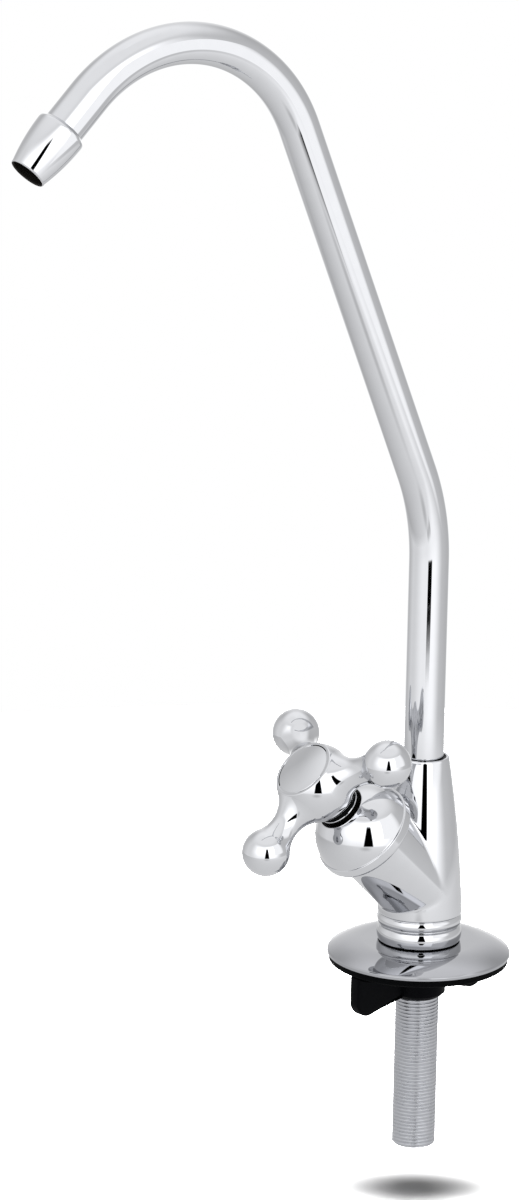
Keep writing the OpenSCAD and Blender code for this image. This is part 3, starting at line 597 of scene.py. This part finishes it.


# The band's rows take the black rubber: painted shade for the gap under the hub.
at_shade_band = (hub_line[:, 0] > shade_band_r - 0.05) & (hub_line[:, 0] < shade_band_r + 0.3)
shade_band_rows = at_shade_band & (hub_line[:, 1] > shade_band_foot - 0.02) & (hub_line[:, 1] < shade_band_top)
hub = cover(spin(hub_line, handle_middle, branch_cross, 180), loop=True, finish=shade_band_rows.astype(int))
arms = [cover(arm(arm_turn + 360 / arm_count * i), ends=(True, True)) for i in range(arm_count)]
handle = build("handle_casting", [hub, *arms], chrome, rubber)
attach(handle, "handle")
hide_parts("handle")

# Index cap
# Plain chromed cover that pushes into the hub over the screw, slightly domed, with a thin gap round it.
# Its top is a shallow bowl turned over: the height falls off with the square of the radius.
cap_r, cap_foot, cap_round, dome = 7.8, 4.3, 0.3, 0.9
span = np.linspace(1, 0.004, 50)
cap_line = outline(
    run((0.03, cap_foot), (cap_r - 0.1, cap_foot), 5),
    run((cap_r, cap_foot + 0.1), (cap_r, cap_plane - cap_round), 6),
    arc((cap_r - cap_round, cap_plane - cap_round), cap_round, 0, 90, 7),
    np.stack([(cap_r - cap_round) * span, cap_plane + dome * (1 - span ** 2)], 1))
cap_rings = spin(cap_line, handle_middle, branch_cross, 144)
cap = build("index_cap_cover", [cover(cap_rings, ends=(True, True))], chrome)
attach(cap, "handle")
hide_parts("index_cap")

# Pieces inside
# Valve cartridge, seals, discs, spigot and clips, of turned brass, rubber, sintered ceramic, spring steel and
# plastics. Their shapes are the solids' own, and each takes the finish of its material, except the
# cartridge's
# body: its brass is painted near black, as painted shade for its neck in the dark gap under the handle.


def inner_finish(name, dark, light, patch, **shader):
    """Plain workshop finish: two close colours in patches of patch mm, with the shader's own values."""
    material, tree, place = start_material(name)
    _, tone = mottled(tree, place, patch, dark, light, Detail=3.0)
    finish_material(tree, add_node(tree, "ShaderNodeBsdfPrincipled", {"Base Color": tone, **shader}))
    return material


# Painted shade: the cartridge's brass is made near black for its neck in the gap under the handle.
shade_dark_brass = inner_finish("brass_in_painted_shade", "#0D0C0A", "#1A1712", 1, Metallic=1.0, Roughness=0.45)
brass = inner_finish("turned_brass", "#B8934A", "#CDAA60", 1.5, Metallic=1.0, Roughness=0.28)
spring = inner_finish("stainless_spring_steel", "#B4B5B7", "#C8C9CB", 2, Metallic=1.0, Roughness=0.3)
ceramic = inner_finish("sintered_alumina", "#E8E6DF", "#F1EFE9", 1, Roughness=0.25)
acetal = inner_finish("white_acetal", "#E6E5E1", "#EFEEEA", 3, Roughness=0.4)
bearing = inner_finish("dark_nylon_bearing", "#121315", "#1D1E20", 1, Roughness=0.5)
inner_pieces = (
    (brass, ("spout_spigot", "spindle")),
    (shade_dark_brass, ("cartridge_body",)),
    (spring, ("spout_retainer", "spindle_clip", "handle_screw")),
    (ceramic, ("fixed_disc", "moving_disc")),
    (acetal, ("thrust_washer",)),
    (bearing, ("spout_bush",)),
    (rubber, ("spout_o_rings", "shank_seal", "cartridge_o_ring", "seat_seal", "spindle_o_rings")))
for finish, nodes in inner_pieces:
    for node in nodes:
        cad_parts[node].data.materials.clear()
        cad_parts[node].data.materials.append(finish)

# Camera
# Long lens from the front right, looking a little down, as the photograph was taken.
# The anchor is a point on the tap's axis, and anchor_px is where the picture shows it.
picture_px, sensor_mm = np.array([519, 1200]), 36.0
azimuth, pitch_down, roll = math.radians(55), math.radians(14.46), math.radians(1.05)
distance_m, focal_px = 1.340, 4851.0
anchor, anchor_px = np.array([0, 0, 0.003]), np.array([418.4, 948.5])
level = np.array([math.cos(azimuth), math.sin(azimuth), 0])
toward_camera = np.array([math.sin(azimuth), -math.cos(azimuth), 0])
back = math.cos(pitch_down) * toward_camera + math.sin(pitch_down) * np.array([0, 0, 1.0])
upright = np.cross(back, level)
cam_x = math.cos(roll) * level + math.sin(roll) * upright
cam_y = -math.sin(roll) * level + math.cos(roll) * upright
shift = (anchor_px - picture_px / 2) * distance_m / focal_px
eye = anchor - shift[0] * cam_x + shift[1] * cam_y + distance_m * back
lens = bpy.data.cameras.new("camera")
lens.sensor_width = sensor_mm
lens.lens = focal_px * sensor_mm / picture_px.max()
lens.clip_start = 0.05
camera = bpy.data.objects.new("camera", lens)
camera_turn = Matrix(np.column_stack([cam_x, cam_y, back]).tolist()).to_4x4()
camera.matrix_world = Matrix.Translation(Vector(eye.tolist())) @ camera_turn
bpy.context.scene.collection.objects.link(camera)
bpy.context.scene.camera = camera

# Floor
# Pale matt table under the tap, which hangs a little above it. It is a disc whose soft edge the chrome shows.
# Seen by the camera, its colour is painted far above white outside an oval under the tap, so that the oval is
# painted shadow and only there does the tap's own soft shadow stay grey. From below it is clear.
floor_z, floor_r, floor_rows = -67.8, 500.0, 40
paint_patch = 30
# As the material reads its place, in metres: the middle of the painted shadow's oval and how much flatter it
# is along the view, then the middle, half width and half depth of a spot of painted shadow in the table's
# glow.
painted_shadow_middle, painted_shadow_flat = 0.004 * level - 0.002 * toward_camera, 2.4
painted_spot_middle, painted_spot_wide, painted_spot_deep = 0.335 * toward_camera - 0.02 * level, 0.1, 0.11
floor_line = np.stack([np.linspace(floor_r, 2, floor_rows), np.full(floor_rows, floor_z)], 1)
table, tree, place = start_material("white_table")


def oval(tree, place, middle, wide, deep, drop):
    """How far a place on the table lies from middle: the length of the vector whose parts are its offset
    across the view over wide, its offset along the view over deep, and drop."""
    off = add_node(tree, "ShaderNodeVectorMath", {0: place, 1: middle.tolist()}, operation="SUBTRACT")
    across, along_view = [
        add_node(tree, "ShaderNodeVectorMath", {0: off.outputs[0], 1: axis.tolist()}, operation="DOT_PRODUCT")
        for axis in (level / wide, toward_camera / deep)]
    spread = add_node(tree, "ShaderNodeCombineXYZ", {
        0: across.outputs["Value"], 1: along_view.outputs["Value"], 2: drop})
    return add_node(tree, "ShaderNodeVectorMath", {0: spread.outputs[0]}, operation="LENGTH").outputs["Value"]


_, paint = mottled(tree, place, paint_patch, "#F0F0F1", "#F6F6F7", Detail=2.0)
painted_shadow_out = oval(tree, place, painted_shadow_middle, 1.0, 1 / painted_shadow_flat, floor_z / 1000)
# Painted shadow: for the camera the table's colour rises from 1.15 in the oval to 4.2 round it.
painted_shadow_lift = add_node(tree, "ShaderNodeMapRange", {
    "Value": painted_shadow_out, "From Min": 0.068, "From Max": 0.073, "To Min": 1.15, "To Max": 4.2})
sight = add_node(tree, "ShaderNodeLightPath")
painted_shadow_colour = add_node(tree, "ShaderNodeMix", {
    "Factor": sight.outputs["Is Camera Ray"], colour_a: paint, colour_b: painted_shadow_lift.outputs[0]}, data_type="RGBA")
lit = add_node(tree, "ShaderNodeBsdfDiffuse", {"Color": painted_shadow_colour.outputs[colour_out]})
# In the chrome the table glows with painted light, more towards the camera's right, and a painted shadow
# dims it in one soft spot in front of the tap.
glow_turn = math.radians(30)
brighter = math.cos(glow_turn) * toward_camera + math.sin(glow_turn) * level
depth = add_node(tree, "ShaderNodeVectorMath", {0: place, 1: brighter.tolist()}, operation="DOT_PRODUCT")
painted_glow_level = add_node(tree, "ShaderNodeMapRange", {
    "Value": depth.outputs["Value"], "From Min": -0.35, "From Max": 0.45, "To Min": 0.68, "To Max": 1.32})
painted_spot_shade = add_node(tree, "ShaderNodeMapRange", {
    "Value": oval(tree, place, painted_spot_middle, painted_spot_wide, painted_spot_deep, 0.0),
    "From Min": 0.1, "From Max": 1.0, "To Min": 0.68, "To Max": 1.0}, interpolation_type="SMOOTHSTEP")
painted_glow_strength = add_node(tree, "ShaderNodeMath", {
    0: painted_glow_level.outputs[0], 1: painted_spot_shade.outputs[0]}, operation="MULTIPLY")
glow = add_node(tree, "ShaderNodeEmission", {"Strength": painted_glow_strength.outputs[0]})
out = add_node(tree, "ShaderNodeVectorMath", {0: place}, operation="LENGTH")
rim = add_node(tree, "ShaderNodeMapRange", {
    "Value": out.outputs["Value"], "From Min": 0.41, "From Max": floor_r / 1000})
clear = add_node(tree, "ShaderNodeBsdfTransparent").outputs[0]
fading_out = add_node(tree, "ShaderNodeMixShader", {0: rim.outputs[0], 1: glow.outputs[0], 2: clear})
top_side = add_node(tree, "ShaderNodeMixShader", {
    0: sight.outputs["Is Glossy Ray"], 1: lit.outputs[0], 2: fading_out.outputs[0]})
from_below = add_node(tree, "ShaderNodeNewGeometry").outputs["Backfacing"]
both_sides = add_node(tree, "ShaderNodeMixShader", {0: from_below, 1: top_side.outputs[0], 2: clear})
finish_material(tree, both_sides)
floor = build("table", [cover(spin(floor_line, around=120), ends=(False, True))], table)

# Studio
# White surroundings: a bright soft screen in front, split by the dark gap where the camera stands, greyer
# flanks, a pale rear wall and ceiling, and a side screen on the right. Chrome shows all of this, and other
# surfaces get an even light and one large soft lamp overhead.
world = bpy.data.worlds.new("studio")
bpy.context.scene.world = world
world.use_nodes = True
tree = world.node_tree
tree.nodes.clear()
view_out = add_node(tree, "ShaderNodeTexCoord").outputs["Generated"]
ahead, aside = [
    add_node(tree, "ShaderNodeVectorMath", {0: view_out, 1: axis.tolist()}, operation="DOT_PRODUCT")
    for axis in (toward_camera, level)]
height = add_node(tree, "ShaderNodeSeparateXYZ", {0: view_out}).outputs["Z"]
bearing_rad = add_node(tree, "ShaderNodeMath", {
    0: aside.outputs["Value"], 1: ahead.outputs["Value"]}, operation="ARCTAN2").outputs[0]
elevation_rad = add_node(tree, "ShaderNodeMath", {0: height}, operation="ARCSINE").outputs[0]
bearing_out = add_node(tree, "ShaderNodeMath", {0: bearing_rad}, operation="DEGREES").outputs[0]
elevation = add_node(tree, "ShaderNodeMath", {0: elevation_rad}, operation="DEGREES").outputs[0]
width = add_node(tree, "ShaderNodeMath", {0: bearing_out}, operation="ABSOLUTE").outputs[0]
# Each row gives what a part of the studio follows, where it starts and stops changing, and its value at both.
# Bearings go round from the camera to the right, and width is the bearing without its sign.
soft_steps = {
    "screen_side": (width, 30, 85, 1, 0), "screen_top": (elevation, 33, 47, 1, 0),
    "rear": (width, 145, 175, 0, 1), "overhead": (elevation, 30, 60, 0, 1),
    "behind": (width, 140, 165, 0, 1), "near_table": (elevation, -2, 6, 1, 0),
    "gap_top": (elevation, 27, 35, 1, 0), "gap_foot": (elevation, -15.5, -14.6, 0, 1),
    "gap_below": (elevation, -25, -20, 1, 0)}
slopes = {
    "screen_left": (elevation, -18, 12, 1.4, 2.1), "screen_right": (elevation, -18, 12, 1.6, 2.8),
    "flank_left": (bearing_out, -135, -100, 0.76, 1.1), "flank_right": (bearing_out, 85, 140, 0.88, 0.7),
    "ceiling": (width, 90, 170, 1.3, 1.42), "gap_half": (elevation, -15, 38, 11, 4)}
rear_level, sweep_level, ambient, gap_middle, gap_soft = 1.08, 1.24, 0.12, 5.5, 1.2
row_keys = ("Value", "From Min", "From Max", "To Min", "To Max")
ramps = {}
for kind, rows in (("SMOOTHSTEP", soft_steps), ("LINEAR", slopes)):
    for name, row in rows.items():
        ramp = add_node(tree, "ShaderNodeMapRange", dict(zip(row_keys, row)), interpolation_type=kind)
        ramps[name] = ramp.outputs[0]
screen_level = add_node(tree, "ShaderNodeMapRange", {
    "Value": bearing_out, "From Min": -15, "From Max": 20, "To Min": ramps["screen_left"],
    "To Max": ramps["screen_right"]}, interpolation_type="SMOOTHSTEP")
flank_level = add_node(tree, "ShaderNodeMapRange", {
    "Value": bearing_out, "From Min": -80, "From Max": 80, "To Min": ramps["flank_left"],
    "To Max": ramps["flank_right"]})
wall = add_node(tree, "ShaderNodeMix", {
    "Factor": ramps["rear"], "A": flank_level.outputs[0], "B": rear_level})
room = add_node(tree, "ShaderNodeMix", {
    "Factor": ramps["overhead"], "A": wall.outputs[0], "B": ramps["ceiling"]})
sweep = add_node(tree, "ShaderNodeMath", {0: ramps["behind"], 1: ramps["near_table"]}, operation="MULTIPLY")
swept = add_node(tree, "ShaderNodeMix", {"Factor": sweep.outputs[0], "A": room.outputs[0], "B": sweep_level})
screen = add_node(tree, "ShaderNodeMath", {
    0: ramps["screen_side"], 1: ramps["screen_top"]}, operation="MULTIPLY")
bright = add_node(tree, "ShaderNodeMix", {
    "Factor": screen.outputs[0], "A": swept.outputs[0], "B": screen_level.outputs[0]})
gap_off = add_node(tree, "ShaderNodeMath", {0: bearing_out, 1: gap_middle}, operation="SUBTRACT")
gap_far = add_node(tree, "ShaderNodeMath", {0: gap_off.outputs[0]}, operation="ABSOLUTE")
gap_edge = add_node(tree, "ShaderNodeMath", {
    0: gap_far.outputs[0], 1: ramps["gap_half"]}, operation="SUBTRACT")
gap_in = add_node(tree, "ShaderNodeMapRange", {
    "Value": gap_edge.outputs[0], "From Min": -gap_soft, "From Max": gap_soft, "To Min": 1.0, "To Max": 0.0},
    interpolation_type="SMOOTHSTEP")
gap_tall = add_node(tree, "ShaderNodeMath", {0: gap_in.outputs[0], 1: ramps["gap_top"]}, operation="MULTIPLY")
gap_ends = add_node(tree, "ShaderNodeMath", {
    0: ramps["gap_foot"], 1: ramps["gap_below"]}, operation="MAXIMUM")
gap = add_node(tree, "ShaderNodeMath", {0: gap_tall.outputs[0], 1: gap_ends.outputs[0]}, operation="MULTIPLY")
shown = add_node(tree, "ShaderNodeMix", {"Factor": gap.outputs[0], "A": bright.outputs[0], "B": 0.0})
ray = add_node(tree, "ShaderNodeLightPath")
seen_in_metal = add_node(tree, "ShaderNodeMix", {
    "Factor": ray.outputs["Is Glossy Ray"], "A": ambient, "B": shown.outputs[0]})
seen = add_node(tree, "ShaderNodeMix", {
    "Factor": ray.outputs["Is Camera Ray"], "A": seen_in_metal.outputs[0], "B": 1.0})
backdrop = add_node(tree, "ShaderNodeBackground", {"Color": (1, 1, 1, 1), "Strength": seen.outputs[0]})
add_node(tree, "ShaderNodeOutputWorld", {"Surface": backdrop.outputs[0]})
# The side screen is a curved upright sheet, which fades at its foot and towards its right.
panel_from, panel_to, panel_r, panel_thick, panel_steps = 36, 90, 420.0, 4.0, 24
panel_foot, panel_top, panel_rows = 30, 430, 9
sheet_bearing = np.radians(np.linspace(panel_from, panel_to, panel_steps))
panel_bearing = np.concatenate([sheet_bearing, sheet_bearing[::-1]])[:, None]
panel_out = np.repeat([panel_r, panel_r + panel_thick], panel_steps)[:, None]
panel_ring = panel_out * (np.cos(panel_bearing) * toward_camera + np.sin(panel_bearing) * level)
panel_rise = np.linspace(panel_foot, panel_top, panel_rows)[:, None, None] * np.array([0, 0, 1.0])
side_light, tree, place = start_material("side_screen")
low = add_node(tree, "ShaderNodeSeparateXYZ", {0: place})
risen = add_node(tree, "ShaderNodeMapRange", {"Value": low.outputs["Z"], "From Min": 0.03, "From Max": 0.06})
fade_rad = 1.0
fade_way = math.cos(fade_rad) * level - math.sin(fade_rad) * toward_camera
past_right = add_node(tree, "ShaderNodeVectorMath", {0: place, 1: fade_way.tolist()}, operation="DOT_PRODUCT")
fading = add_node(tree, "ShaderNodeMapRange", {
    "Value": past_right.outputs["Value"], "From Min": 0.1, "From Max": 0.22, "To Min": 1.0, "To Max": 0.0})
shining = add_node(tree, "ShaderNodeMath", {0: risen.outputs[0], 1: fading.outputs[0]}, operation="MULTIPLY")
unlit = add_node(tree, "ShaderNodeBsdfTransparent")
shine = add_node(tree, "ShaderNodeEmission", {"Strength": 1.6})
finish_material(tree, add_node(tree, "ShaderNodeMixShader", {
    0: shining.outputs[0], 1: unlit.outputs[0], 2: shine.outputs[0]}))
panel = build("side_screen", [cover(panel_ring + panel_rise)], side_light)
panel.visible_camera = panel.visible_diffuse = panel.visible_shadow = False
# The lamp is a disc 0.8 m across and 1.2 m up, which the chrome doesn't show.
softbox = bpy.data.lights.new("overhead_softbox", "AREA")
softbox.shape = "DISK"
softbox.size = 0.8
softbox.energy = 15.5
lamp = bpy.data.objects.new("overhead_softbox", softbox)
lamp.matrix_world = Matrix.Translation((0, 0, 1.2))
lamp.visible_glossy = False
bpy.context.scene.collection.objects.link(lamp)
